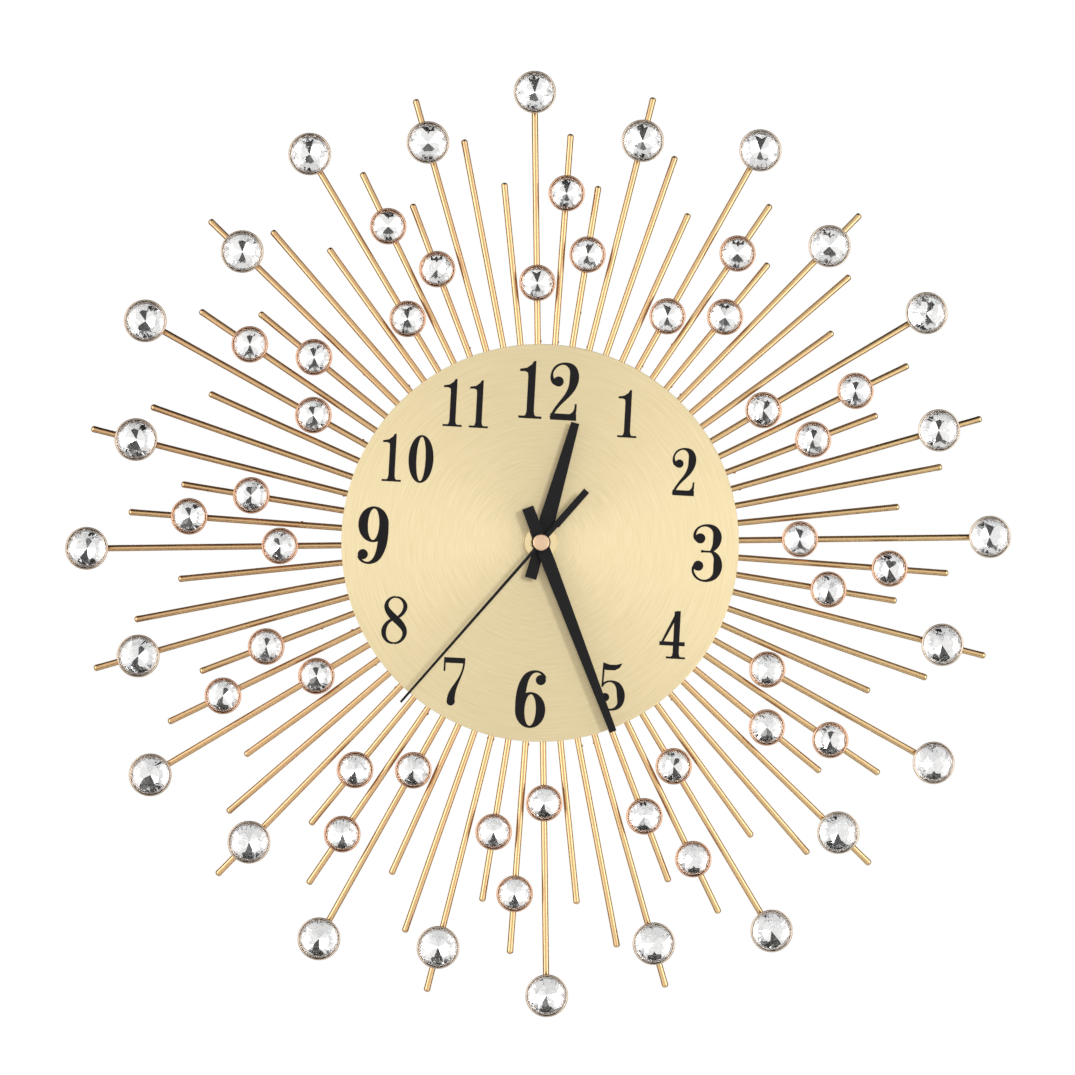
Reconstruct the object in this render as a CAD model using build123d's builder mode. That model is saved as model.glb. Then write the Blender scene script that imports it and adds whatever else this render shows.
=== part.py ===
"""Sunburst wall clock: gold rods with faceted stones round a brushed dial, on a quartz movement."""

from build123d import *

import os
from math import atan, cos, degrees, hypot, radians, sin

# ---------------------------------------------------------------------------
# Driving dimensions, in millimetres. The clock faces -Y and hangs on the wall plane y = 0.
# The origin is where the hands' axis meets the wall. A "depth" is a distance out from the wall.
# ---------------------------------------------------------------------------
sunburst_radius = 300.0
dial_radius = 126.5
rod_radius = 2.0
rods_per_group = 12
group_step = 5.0               # degrees from one rod to the next
sunburst_turn = -3.8           # the rods stand turned against the dial, clockwise positive

large_cup_radius = 13.35
large_stone_radius = 12.45
large_cup_depth = 6.5
small_cup_radius = 11.45
small_stone_radius = 10.15
small_cup_depth = 5.2
cup_wall = 0.8

# Distance from the axis to each rod's tip and to the stones it carries, for the six rod groups
tip_reach = {"a": 288.0, "b": 262.0, "c": 231.0, "d": 294.0, "e": 262.0, "f": 231.0}
large_reach = {"a": sunburst_radius - large_cup_radius, "d": 264.0}
small_reach = {"a": 165.2, "b": 223.0, "c": 185.7}
rod_root = 108.0
ring_reach = 117.0

# Depths of the plates, from the wall outwards
cover_depth = 14.5
case_front = 16.0
gasket_front = 17.0
backing_front = 18.2
dial_front = 19.0
ink_thickness = 0.12
washer_front = 19.8
nut_front = 22.3
weld_sink = 0.2                # how far welded pieces sink into each other
rod_depth = gasket_front - rod_radius + weld_sink

# Movement
case_width = 58.0
case_height = 57.0
case_wall = 1.5
shelf_top = -11.2              # shelf between the train and the battery bay
battery_radius = 7.1
battery_length = 50.5
battery_height = -19.5
battery_depth = 7.25

second_shaft_radius = 0.5
minute_pipe_radius = 1.8
hour_pipe_radius = 2.55
running_gap = 0.06
bushing_radius = 4.0

hour_hand_depth = 24.4
minute_hand_depth = 27.2
second_hand_depth = 30.2
hand_thickness = 0.8
second_thickness = 0.5


# ---------------------------------------------------------------------------
# Places: every flat piece lies parallel to the wall and is drawn as seen from the front
# ---------------------------------------------------------------------------
def facing(depth):
    """Plane parallel to the wall and out from it, x to the right and y up as seen from the front."""
    return Plane(origin=(0, -depth, 0), x_dir=(1, 0, 0), z_dir=(0, -1, 0))


def seat(depth, x=0.0, z=0.0, turn=0.0):
    """Place at (x, z) and depth, turned clockwise by turn degrees."""
    return facing(depth).location * Location((x, z, 0), (0, 0, -turn))


def round_the_dial(depth, reach, start):
    """The twelve places of one rod group at a distance from the axis."""
    places = []
    for i in range(rods_per_group):
        turn = sunburst_turn + start + i * 360 / rods_per_group
        x = reach * sin(radians(turn))
        z = reach * cos(radians(turn))
        places.append(seat(depth, x, z, turn))
    return places


def save(builder, label):
    builder.part.label = label
    export_step(builder.part, f"parts/{label}.step")


os.makedirs("parts", exist_ok=True)
group_start = {name: i * group_step for i, name in enumerate("abcdef")}

# ---------------------------------------------------------------------------
# Rods: solid wire with a slightly swollen rounded tip, welded behind the plate
# ---------------------------------------------------------------------------
along_rod = Plane(origin=(0, 0, 0), x_dir=(1, 0, 0), z_dir=(0, 1, 0))
swell_length = 6.0
swell_angle = 1.5
tip_rounding = rod_radius * 0.85
for name, tip in tip_reach.items():
    with BuildPart() as rod:
        with BuildSketch(along_rod):
            Circle(rod_radius)
        extrude(amount=tip - rod_root - swell_length)
        extrude(rod.faces().sort_by(Axis.Y)[-1], amount=swell_length, taper=-swell_angle)
        fillet(rod.faces().sort_by(Axis.Y)[-1].edges(), radius=tip_rounding)
    with BuildPart() as rod_group:
        with Locations(*round_the_dial(rod_depth, rod_root, group_start[name])):
            add(rod.part)
    save(rod_group, f"rods_{name}")

# ---------------------------------------------------------------------------
# Cups and stones
# ---------------------------------------------------------------------------
large_places = []
for name, reach in large_reach.items():
    large_places += round_the_dial(gasket_front, reach, group_start[name])
small_places = []
for name, reach in small_reach.items():
    small_places += round_the_dial(gasket_front, reach, group_start[name])


rolled_rim = 0.9               # height of the rim's roll
stone_girdle = 0.5             # thickness of a stone's straight edge


def cup(outer, depth):
    """A spun cup: flat back, flared side and a rolled rim that the stone sits inside."""
    rim = outer - cup_wall
    back = outer * 0.42
    with BuildPart() as shell:
        with BuildSketch(Plane.XZ):
            with BuildLine():
                outside = Spline(
                    (back, 0),
                    (outer * 0.8, depth * 0.42),
                    (outer, depth - rolled_rim),
                    tangents=((1, 0.12), (0.1, 1)),
                )
                lip = ThreePointArc(
                    outside @ 1,
                    (outer - cup_wall / 2, depth),
                    (rim, depth - rolled_rim),
                )
                inside = Spline(
                    lip @ 1,
                    (outer * 0.76, depth * 0.5 + 0.4),
                    (back, cup_wall),
                    tangents=((-0.1, -1), (-1, -0.12)),
                )
                Polyline(inside @ 1, (0, cup_wall), (0, 0), outside @ 0)
            make_face()
        revolve(axis=Axis.Z)
    return shell.part


def stone(radius, seat_height, crown, pavilion):
    """A cut stone: sixteen-sided girdle, flat table in front, blunt point behind."""
    table = radius * 0.58
    culet = radius * 0.05
    with BuildPart() as cut:
        with BuildSketch(Plane.XY.offset(seat_height)):
            RegularPolygon(radius, 16)
        extrude(amount=stone_girdle)
        extrude(cut.faces().sort_by(Axis.Z)[-1], amount=crown,
                taper=degrees(atan((radius - table) / crown)))
        extrude(cut.faces().sort_by(Axis.Z)[0], amount=pavilion,
                taper=degrees(atan((radius - culet) / pavilion)))
    return cut.part


def place_all(shape, places, label):
    with BuildPart() as group:
        with Locations(*places):
            add(shape)
    save(group, label)


place_all(cup(large_cup_radius, large_cup_depth), large_places, "large_cups")
place_all(cup(small_cup_radius, small_cup_depth), small_places, "small_cups")
place_all(stone(large_stone_radius, large_cup_depth - 1.2, 3.2, 3.9), large_places, "large_stones")
place_all(stone(small_stone_radius, small_cup_depth - 1.1, 2.7, 2.8), small_places, "small_stones")

# ---------------------------------------------------------------------------
# Plates and hoop behind the sunburst
# ---------------------------------------------------------------------------
backing_radius = 123.0
bushing_hole = bushing_radius + 0.1
rivet_places = [(-6, 42), (6, 42)]
rivet_radius = 1.5
rivet_head = 2.8
rivet_head_height = 1.2

with BuildPart() as backing_disc:
    with BuildSketch(facing(gasket_front)):
        Circle(backing_radius)
        Circle(bushing_hole, mode=Mode.SUBTRACT)
        with Locations(*rivet_places):
            Circle(rivet_radius, mode=Mode.SUBTRACT)
    extrude(amount=backing_front - gasket_front)
save(backing_disc, "backing_disc")

with BuildPart() as dial_face:
    with BuildSketch(facing(backing_front)):
        Circle(dial_radius)
        Circle(bushing_hole, mode=Mode.SUBTRACT)
    extrude(amount=dial_front - backing_front)
    fillet(dial_face.edges().filter_by(GeomType.CIRCLE).sort_by(SortBy.RADIUS)[-1], radius=0.3)
save(dial_face, "dial_face")

hoop_depth = rod_depth - 2 * rod_radius + weld_sink
with BuildPart() as stiffening_ring:
    with BuildSketch(Plane.XY):
        with Locations((ring_reach, 0)):
            Circle(rod_radius)
    revolve(axis=Axis.Y)
    stiffening_ring.part.locate(Location((0, -hoop_depth, 0)))
save(stiffening_ring, "stiffening_ring")

# Hanger: a strip bent back towards the wall, riveted above the movement
hanger_half_width = 12.0
hanger_sheet = 1.2
flange_rear = gasket_front - hanger_sheet
tab_rear = 6.0
tab_front = tab_rear + hanger_sheet
flange_foot = 34.0
bend_height = 52.0
tab_top = 80.0
key_height = 62.0
key_radius = 4.5
key_slot_width = 4.0
with BuildPart() as hanger_bracket:
    with BuildSketch(Plane.YZ.offset(-hanger_half_width)):
        Polygon(
            (-gasket_front, flange_foot),
            (-gasket_front, bend_height),
            (-tab_front, bend_height),
            (-tab_front, tab_top),
            (-tab_rear, tab_top),
            (-tab_rear, bend_height - hanger_sheet),
            (-flange_rear, bend_height - hanger_sheet),
            (-flange_rear, flange_foot),
            align=None,
        )
    extrude(amount=2 * hanger_half_width)
    with BuildSketch(facing(tab_rear - 1)):
        with Locations((0, key_height)):
            Circle(key_radius)
        with Locations((0, key_height + key_radius)):
            SlotOverall(2 * key_radius + key_slot_width, key_slot_width, rotation=90)
    extrude(amount=hanger_sheet + 2, mode=Mode.SUBTRACT)
    with BuildSketch(facing(flange_rear - 1)):
        with Locations(*rivet_places):
            Circle(rivet_radius)
    extrude(amount=hanger_sheet + 2, mode=Mode.SUBTRACT)
    fillet(
        hanger_bracket.edges().filter_by(Axis.Y).group_by(Axis.Z)[-1]
        + hanger_bracket.edges().filter_by(Axis.Y).group_by(Axis.Z)[0],
        radius=2.5,
    )
save(hanger_bracket, "hanger_bracket")

with BuildPart() as hanger_rivets:
    with BuildSketch(facing(flange_rear - rivet_head_height)):
        with Locations(*rivet_places):
            Circle(rivet_head)
    extrude(amount=rivet_head_height)
    with BuildSketch(facing(flange_rear)):
        with Locations(*rivet_places):
            Circle(rivet_radius)
    extrude(amount=backing_front - flange_rear)
    fillet(hanger_rivets.faces().sort_by(Axis.Y)[-2:].edges(), radius=0.9)
save(hanger_rivets, "hanger_rivets")

# ---------------------------------------------------------------------------
# Numerals: condensed upright figures, drawn ten units high from strokes that swell and thin,
# balls, bars and rings. Positions are from the figure's bottom left corner.
# ---------------------------------------------------------------------------
HAIR = 0.42                    # thin strokes
BALL = 0.88                    # ball terminals


def stroke(points, widths):
    """A pen stroke along points, as wide at each point as widths says."""
    left = []
    right = []
    for i, (x, y) in enumerate(points):
        x0, y0 = points[max(i - 1, 0)]
        x1, y1 = points[min(i + 1, len(points) - 1)]
        run = hypot(x1 - x0, y1 - y0)
        nx = -(y1 - y0) / run * widths[i] / 2
        ny = (x1 - x0) / run * widths[i] / 2
        left.append((x + nx, y + ny))
        right.append((x - nx, y - ny))
    with BuildSketch(Plane.XY) as pen:
        with BuildLine():
            first = Spline(*left)
            second = Spline(*right)
            Line(first @ 0, second @ 0)
            Line(first @ 1, second @ 1)
        make_face()
    return pen.sketch


def bar(x0, y0, x1, y1):
    with BuildSketch(Plane.XY) as block:
        with Locations(((x0 + x1) / 2, (y0 + y1) / 2)):
            Rectangle(x1 - x0, y1 - y0)
    return block.sketch


def ball(x, y, radius=BALL):
    with BuildSketch(Plane.XY) as dot:
        with Locations((x, y)):
            Circle(radius)
    return dot.sketch


def ring(x, y, outer, inner):
    """An oval ring, outer and inner given as (half width, half height)."""
    with BuildSketch(Plane.XY) as oval:
        with Locations((x, y)):
            Ellipse(*outer)
            Ellipse(*inner, mode=Mode.SUBTRACT)
    return oval.sketch


def shape(*points):
    with BuildSketch(Plane.XY) as outline:
        Polygon(*points, align=None)
    return outline.sketch


def stem_foot(x, top):
    """Thick stem from the foot up, with a bracketed hairline serif."""
    half = 0.64
    bracket = shape((x - 1.2, 0.3), (x - 0.78, 0.6), (x - half, 1.25),
                    (x + half, 1.25), (x + 0.78, 0.6), (x + 1.2, 0.3))
    return [bar(x - 2.0, 0, x + 2.0, HAIR), bar(x - half, 0, x + half, top), bracket]


def bowl(onward, widths):
    """The lower half of a 3 or a 5: from the ball round the foot and on up through the given points."""
    return [
        ball(1.12, 2.75),
        stroke(
            [(0.75, 2.75), (0.22, 2.1), (0.75, 0.85), (2.5, HAIR / 2), (4.0, 1.0), *onward],
            [0.9, 0.45, HAIR, HAIR, 0.95, *widths],
        ),
    ]


def figure(digit):
    """The pieces of one figure."""
    if digit == "0":
        return [ring(2.6, 5, (2.6, 5), (0.95, 4.6))]
    if digit == "1":
        flag = shape((0, 8.1), (0, 8.5), (1.2, 8.75), (2.0, 9.35), (2.35, 9.95), (2.75, 10),
                     (2.76, 7.2), (1.48, 7.2), (1.4, 7.9), (0.9, 8.12))
        return stem_foot(2.12, 9.0) + [flag]
    if digit == "2":
        curl = stroke(
            [(1.15, 6.35), (0.35, 6.75), (0.1, 7.9), (0.75, 9.2), (2.1, 9.78), (3.5, 9.2),
             (4.0, 7.6), (3.75, 5.9), (2.9, 4.3), (1.75, 2.9), (0.85, 1.6), (0.3, 0.3)],
            [1.0, 0.75, HAIR, HAIR, HAIR, 1.15, 1.62, 1.35, 0.9, 0.6, 0.5, 0.6],
        )
        tail = stroke([(3.3, 0.7), (4.15, 1.1), (4.42, 1.9), (4.46, 2.9)], [0.9, 0.8, 0.45, HAIR])
        return [ball(1.3, 6.65), curl, bar(0.15, 0, 4.66, 1.12), tail]
    if digit == "3":
        top = stroke(
            [(0.95, 7.3), (0.32, 7.75), (0.5, 8.9), (2.1, 9.79), (3.6, 9.3), (4.2, 7.8),
             (3.95, 6.4), (3.25, 5.35)],
            [1.0, 0.6, HAIR, HAIR, 1.0, 1.5, 1.15, HAIR],
        )
        bottom = bowl([(4.5, 2.9), (4.25, 4.3), (3.3, 5.3)], [1.55, 1.15, HAIR])
        return [ball(1.24, 7.5), top, bar(1.7, 5.1, 3.4, 5.45), ball(1.7, 5.28, 0.25)] + bottom
    if digit == "4":
        sail = shape((0, 2.7), (3.3, 10), (4.14, 10), (4.14, 7.6), (2.9, 7.6), (0.78, 3.3), (0.78, 2.7))
        return stem_foot(3.5, 9.9) + [sail, bar(0, 2.7, 5.3, 3.55)]
    if digit == "5":
        flag = shape((0.4, 9.98), (1.9, 9.55), (3.2, 9.6), (4.4, 9.98), (3.9, 9.0), (2.9, 8.42),
                     (0.95, 8.4), (0.5, 8.9))
        stem = shape((0.38, 9.95), (0.8, 9.9), (0.62, 5.0), (0.24, 4.85))
        bottom = bowl(
            [(4.42, 2.7), (4.25, 4.1), (3.55, 5.5), (2.3, 6.1), (1.1, 5.85), (0.4, 4.9)],
            [1.6, 1.6, 1.05, HAIR, HAIR, HAIR],
        )
        return [flag, stem] + bottom
    if digit in "69":
        back = stroke(
            [(0.82, 3.0), (0.85, 5.2), (1.2, 7.5), (2.05, 9.2), (3.2, 9.79), (4.3, 9.5), (4.78, 8.6)],
            [1.62, 1.66, 1.45, 0.95, HAIR, HAIR, 0.8],
        )
        return [ring(2.62, 3.1, (2.62, 3.1), (0.98, 2.7)), back, ball(4.2, 8.35)]
    if digit == "7":
        leg = stroke(
            [(4.25, 9.6), (4.12, 7.9), (3.45, 5.8), (2.55, 3.9), (1.95, 2.1), (1.88, 0.95)],
            [HAIR, 0.4, 0.5, 0.95, 1.5, 1.7],
        )
        return [bar(0.05, 8.85, 4.46, 10), bar(0.05, 7.1, 0.42, 9.9), leg, ball(1.88, 0.87, 0.87)]
    crossing = stroke(
        [(2.8, 9.79), (1.45, 9.35), (0.8, 8.1), (1.35, 6.7), (2.75, 5.3), (4.15, 4.0), (4.86, 2.5),
         (4.2, 0.85), (2.65, HAIR / 2)],
        [HAIR, 0.55, 0.85, 1.25, 1.5, 1.35, 0.95, 0.6, HAIR],
    )
    upper = stroke([(2.8, 9.79), (4.1, 9.25), (4.73, 8.0), (4.3, 6.6), (3.0, 5.5)],
                   [HAIR, 0.6, 0.87, 0.75, 0.5])
    lower = stroke([(2.65, HAIR / 2), (1.15, 0.8), (0.5, 2.5), (1.0, 4.1), (2.4, 5.2)],
                   [HAIR, 0.65, 1.0, 0.8, 0.5])
    return [crossing, upper, lower]


FIGURE_WIDTH = {"1": 4.12, "3": 5.2, "4": 5.3, "5": 5.1, "7": 4.5, "2": 4.8}
QUARTER_HEIGHT = 36.8          # 12, 3, 6 and 9
HOUR_HEIGHT = 30.5             # the other hours
numeral_places = {
    "12": (0, 97), "1": (51, 85), "2": (89, 50), "3": (106.5, -1), "4": (87, -54), "5": (50.5, -89),
    "6": (-1, -99.5), "7": (-50.5, -91), "8": (-90, -54), "9": (-106.5, -1), "10": (-87, 49),
    "11": (-52, 86),
}
LETTER_GAP = 1.35

with BuildPart() as numerals:
    for text, (centre_x, centre_z) in numeral_places.items():
        height = QUARTER_HEIGHT if text in ("12", "3", "6", "9") else HOUR_HEIGHT
        unit = height / 10
        widths = [FIGURE_WIDTH.get(digit, 5.24) for digit in text]
        cursor = -(sum(widths) + LETTER_GAP * (len(text) - 1)) / 2
        for digit, width in zip(text, widths):
            with BuildSketch(facing(dial_front)):
                with Locations((centre_x, centre_z)):
                    for piece in figure(digit):
                        sized = scale(piece, unit, mode=Mode.PRIVATE)
                        if digit == "9":
                            sized = Pos(width * unit, height, 0) * Rot(0, 0, 180) * sized
                        add(Pos(cursor * unit, -height / 2, 0) * sized)
            extrude(amount=ink_thickness)
            cursor += width + LETTER_GAP
save(numerals, "numerals")

# ---------------------------------------------------------------------------
# Gear train. Each pair shares a module, worked out from how far apart its arbors stand.
# ---------------------------------------------------------------------------
rotor_teeth = 12
intermediate_teeth = 48
pinion_teeth = 8               # on the intermediate, seconds and third arbors
seconds_teeth = 60
third_teeth = 60
centre_teeth = 64
cannon_teeth = 12
motion_teeth = 36
motion_pinion_teeth = 10
hour_teeth = 40

fine_module = 0.22             # rotor, intermediate and seconds wheels
intermediate_distance = fine_module * (pinion_teeth + seconds_teeth) / 2
rotor_distance = fine_module * (rotor_teeth + intermediate_teeth) / 2
third_distance = 9.0
third_module = 2 * third_distance / (pinion_teeth + third_teeth)
centre_module = 2 * third_distance / (pinion_teeth + centre_teeth)
motion_distance = 9.6
cannon_module = 2 * motion_distance / (cannon_teeth + motion_teeth)
hour_module = 2 * motion_distance / (motion_pinion_teeth + hour_teeth)


def polar(distance, angle):
    return (distance * cos(radians(angle)), distance * sin(radians(angle)))


third_angle = 170.0
intermediate_angle = 100.0
rotor_angle = 72.4
motion_angle = 30.0
third_at = polar(third_distance, third_angle)
intermediate_at = polar(intermediate_distance, intermediate_angle)
rotor_step = polar(rotor_distance, rotor_angle)
rotor_at = (intermediate_at[0] + rotor_step[0], intermediate_at[1] + rotor_step[1])
motion_at = polar(motion_distance, motion_angle)


def toothed(teeth, module, tooth_at):
    """A toothed disc in the open sketch, with one tooth at an angle, anticlockwise from the right."""
    pitch = teeth * module / 2
    Circle(pitch - 1.1 * module)
    with PolarLocations(pitch, teeth, start_angle=tooth_at):
        Polygon(
            (-1.3 * module, -0.66 * module),
            (0.75 * module, -0.3 * module),
            (0.75 * module, 0.3 * module),
            (-1.3 * module, 0.66 * module),
            align=None,
        )


def gap_at(teeth, angle):
    """Angle of a tooth on a wheel that has a gap at the given angle."""
    return angle + 180 / teeth


def disc(near, far, radius, at=(0, 0), hole=0.0, mode=Mode.ADD):
    """A round boss, shaft or tube between two depths."""
    with BuildSketch(facing(near)) as outline:
        with Locations(at):
            Circle(radius)
            if hole:
                Circle(hole, mode=Mode.SUBTRACT)
    extrude(outline.sketch, amount=far - near, mode=mode)


def wheel(near, far, teeth, module, tooth_at, at=(0, 0), hole=0.0):
    """A toothed disc between two depths."""
    with BuildSketch(facing(near)) as outline:
        with Locations(at):
            toothed(teeth, module, tooth_at)
            if hole:
                Circle(hole, mode=Mode.SUBTRACT)
    extrude(outline.sketch, amount=far - near)


post_radius = 0.4
post_hole = post_radius + running_gap

with BuildPart() as seconds_wheel:
    disc(3.0, 30.7, second_shaft_radius)
    wheel(5.4, 6.2, seconds_teeth, fine_module, gap_at(seconds_teeth, intermediate_angle))
    wheel(6.2, 7.9, pinion_teeth, third_module, third_angle)
save(seconds_wheel, "seconds_wheel")

with BuildPart() as intermediate_wheel:
    wheel(3.8, 4.6, intermediate_teeth, fine_module, gap_at(intermediate_teeth, rotor_angle),
          intermediate_at, post_hole)
    wheel(4.6, 6.4, pinion_teeth, fine_module, intermediate_angle + 180, intermediate_at, post_hole)
save(intermediate_wheel, "intermediate_wheel")

with BuildPart() as rotor:
    wheel(3.6, 4.8, rotor_teeth, fine_module, rotor_angle + 180, rotor_at, post_hole)
    disc(4.8, 6.8, 0.95, rotor_at, post_hole)
    disc(6.8, 9.2, 2.8, rotor_at, post_hole)
save(rotor, "rotor")

with BuildPart() as third_wheel:
    wheel(6.6, 7.4, third_teeth, third_module, gap_at(third_teeth, third_angle + 180),
          third_at, post_hole)
    wheel(7.4, 9.4, pinion_teeth, centre_module, third_angle + 180, third_at, post_hole)
save(third_wheel, "third_wheel")

pipe_bore = second_shaft_radius + running_gap
with BuildPart() as minute_arbor:
    wheel(8.2, 9.0, centre_teeth, centre_module, gap_at(centre_teeth, third_angle), hole=pipe_bore)
    wheel(9.0, 10.75, cannon_teeth, cannon_module, motion_angle, hole=pipe_bore)
    disc(10.75, 28.3, minute_pipe_radius, hole=pipe_bore)
save(minute_arbor, "minute_arbor")

arbor_radius = 0.6
with BuildPart() as motion_wheel:
    disc(1.0, 15.2, arbor_radius, motion_at)
    wheel(9.4, 10.6, motion_teeth, cannon_module, gap_at(motion_teeth, motion_angle + 180), motion_at)
    wheel(10.6, 13.3, motion_pinion_teeth, hour_module, motion_angle + 180, motion_at)
save(motion_wheel, "motion_wheel")

hour_bore = minute_pipe_radius + running_gap
with BuildPart() as hour_wheel:
    wheel(12.0, 13.0, hour_teeth, hour_module, gap_at(hour_teeth, motion_angle), hole=hour_bore)
    disc(13.0, 25.3, hour_pipe_radius, hole=hour_bore)
save(hour_wheel, "hour_wheel")

knob_radius = 4.5
knob_grooves = 24
with BuildPart() as setting_knob:
    with BuildSketch(facing(0.6)):
        with Locations(motion_at):
            Circle(knob_radius)
            with PolarLocations(knob_radius + 0.25, knob_grooves):
                Circle(0.5, mode=Mode.SUBTRACT)
    extrude(amount=1.6)
    disc(1.0, 2.2, arbor_radius, motion_at, mode=Mode.SUBTRACT)
save(setting_knob, "setting_knob")

# ---------------------------------------------------------------------------
# Movement case, bridge and electrics
# ---------------------------------------------------------------------------
boss_places = [(-22.0, -7.0), (-22.0, 14.0), (14.5, -7.5)]
stator_pegs = [(-12.0, 11.0), (14.0, 11.0)]
board_pegs = [(21.3, -6.5), (21.3, 15.5)]
bridge_rear = 10.9
bridge_front = 11.7
board_rear = 3.6
board_front = 4.6
board_centre = (21.35, 4.5)
stator_rear = 7.7
stator_front = 8.5
stator_centre = (1, 15.75)
coil_window = (1, 19.3)
screw_hole = 1.05
shelf_thickness = 0.8
bay_centre = (shelf_top - shelf_thickness + case_wall - case_height / 2) / 2
bay_height = shelf_top - shelf_thickness - (case_wall - case_height / 2)

with BuildPart() as movement_case:
    with BuildSketch(facing(0)):
        RectangleRounded(case_width, case_height, 3)
    extrude(amount=cover_depth)
    with BuildSketch(facing(case_wall)):
        RectangleRounded(case_width - 2 * case_wall, case_height - 2 * case_wall, 1.5)
    extrude(amount=cover_depth, mode=Mode.SUBTRACT)
    with BuildSketch(facing(0)):
        with Locations((0, shelf_top - shelf_thickness / 2)):
            Rectangle(case_width - 1, shelf_thickness)
    extrude(amount=13.6)
    with BuildSketch(facing(-1)):
        with Locations((0, bay_centre)):
            Rectangle(battery_length + 1.2, bay_height - 0.1)
    extrude(amount=case_wall + 1, mode=Mode.SUBTRACT)
    disc(case_wall - 0.2, 3.4, 5.8, motion_at)
    disc(-1, 2.6, knob_radius + 0.5, motion_at, mode=Mode.SUBTRACT)
    disc(2.0, 4.0, arbor_radius + running_gap, motion_at, mode=Mode.SUBTRACT)
    disc(case_wall - 0.2, 4.8, 1.4)
    disc(2.6, 5.0, pipe_bore, mode=Mode.SUBTRACT)
    for place, shoulder, top in (
        (third_at, 6.5, 10.0),
        (intermediate_at, 3.7, 6.8),
        (rotor_at, 3.5, 9.6),
    ):
        disc(case_wall - 0.2, shoulder, 0.9, place)
        disc(shoulder, top, post_radius, place)
    for place in stator_pegs:
        disc(case_wall - 0.2, stator_rear, 1.4, place)
        disc(stator_rear, stator_front + 0.5, 0.9, place)
    for place in board_pegs:
        disc(case_wall - 0.2, board_rear, 1.8, place)
        disc(board_rear, board_front + 0.6, 0.85, place)
    for place in boss_places:
        disc(case_wall - 0.2, bridge_rear, 2.2, place)
        disc(5.0, bridge_rear + 1, screw_hole, place, mode=Mode.SUBTRACT)
save(movement_case, "movement_case")

with BuildPart() as movement_cover:
    with BuildSketch(facing(cover_depth)):
        RectangleRounded(case_width, case_height, 3)
    extrude(amount=case_front - cover_depth)
    with BuildSketch(facing(cover_depth - 0.7)):
        RectangleRounded(case_width - 2 * case_wall - 0.3, case_height - 2 * case_wall - 0.3, 1.3)
        RectangleRounded(case_width - 2 * case_wall - 2.3, case_height - 2 * case_wall - 2.3, 0.5,
                         mode=Mode.SUBTRACT)
    extrude(amount=0.7)
    disc(cover_depth - 1, case_front + 1, bushing_radius, mode=Mode.SUBTRACT)
    disc(cover_depth - 1, 15.4, arbor_radius + running_gap, motion_at, mode=Mode.SUBTRACT)
save(movement_cover, "movement_cover")

with BuildPart() as threaded_bushing:
    disc(13.5, cover_depth, 6.0, hole=hour_pipe_radius + running_gap)
    disc(cover_depth, 23.0, bushing_radius, hole=hour_pipe_radius + running_gap)
    chamfer(threaded_bushing.faces().sort_by(Axis.Y)[0].outer_wire().edges(), length=0.4)
save(threaded_bushing, "threaded_bushing")

with BuildPart() as rubber_gasket:
    disc(case_front, gasket_front, 14.0, hole=bushing_hole)
save(rubber_gasket, "rubber_gasket")

with BuildPart() as dial_washer:
    disc(dial_front, washer_front, 10.5, hole=bushing_hole)
    chamfer(dial_washer.faces().sort_by(Axis.Y)[0].outer_wire().edges(), length=0.3)
save(dial_washer, "dial_washer")

with BuildPart() as hex_nut:
    with BuildSketch(facing(washer_front)):
        RegularPolygon(6.35, 6)
        Circle(bushing_radius, mode=Mode.SUBTRACT)
    extrude(amount=nut_front - washer_front)
save(hex_nut, "hex_nut")

with BuildPart() as train_bridge:
    with BuildSketch(facing(bridge_rear)):
        with BuildLine():
            Polyline((-24.5, -9.5), (17, -9.5), (17, 8.5), (-8, 16.5), (-24.5, 16.5), close=True)
        make_face()
        Circle(minute_pipe_radius + running_gap, mode=Mode.SUBTRACT)
        with Locations(motion_at):
            Circle(2.6, mode=Mode.SUBTRACT)
        with Locations(*boss_places):
            Circle(screw_hole, mode=Mode.SUBTRACT)
    extrude(amount=bridge_front - bridge_rear)
    fillet(train_bridge.edges().filter_by(Axis.Y).filter_by(GeomType.LINE), radius=1.5)
save(train_bridge, "train_bridge")

with BuildPart() as bridge_screws:
    for place in boss_places:
        disc(5.5, bridge_front, 1.0, place)
        disc(bridge_front, bridge_front + 1.2, 2.0, place)
        with BuildSketch(facing(bridge_front + 0.6)):
            with Locations(place):
                Rectangle(2.4, 0.5)
                Rectangle(0.5, 2.4)
        extrude(amount=1, mode=Mode.SUBTRACT)
save(bridge_screws, "bridge_screws")

with BuildPart() as circuit_board:
    with BuildSketch(facing(board_rear)):
        with Locations(board_centre):
            Rectangle(8.3, 27)
        with Locations(*board_pegs):
            Circle(0.9, mode=Mode.SUBTRACT)
    extrude(amount=board_front - board_rear)
save(circuit_board, "circuit_board")

with BuildPart() as quartz_crystal:
    with BuildSketch(Plane.XY.offset(1.5)):
        with Locations((21.3, -board_front - 1.03)):
            Circle(1.0)
    extrude(amount=6.2)
    fillet(quartz_crystal.edges().filter_by(GeomType.CIRCLE), radius=0.3)
save(quartz_crystal, "quartz_crystal")

coil_height = 21.5
with BuildPart() as stator:
    with BuildSketch(facing(stator_rear)):
        with Locations(stator_centre):
            Rectangle(30, 13.1)
        with Locations(coil_window):
            Rectangle(22, 2.8, mode=Mode.SUBTRACT)
        with Locations(rotor_at):
            Circle(3.3, mode=Mode.SUBTRACT)
        with Locations(*stator_pegs):
            Circle(0.95, mode=Mode.SUBTRACT)
    extrude(amount=stator_front - stator_rear)
save(stator, "stator")

stator_middle = (stator_rear + stator_front) / 2


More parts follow.
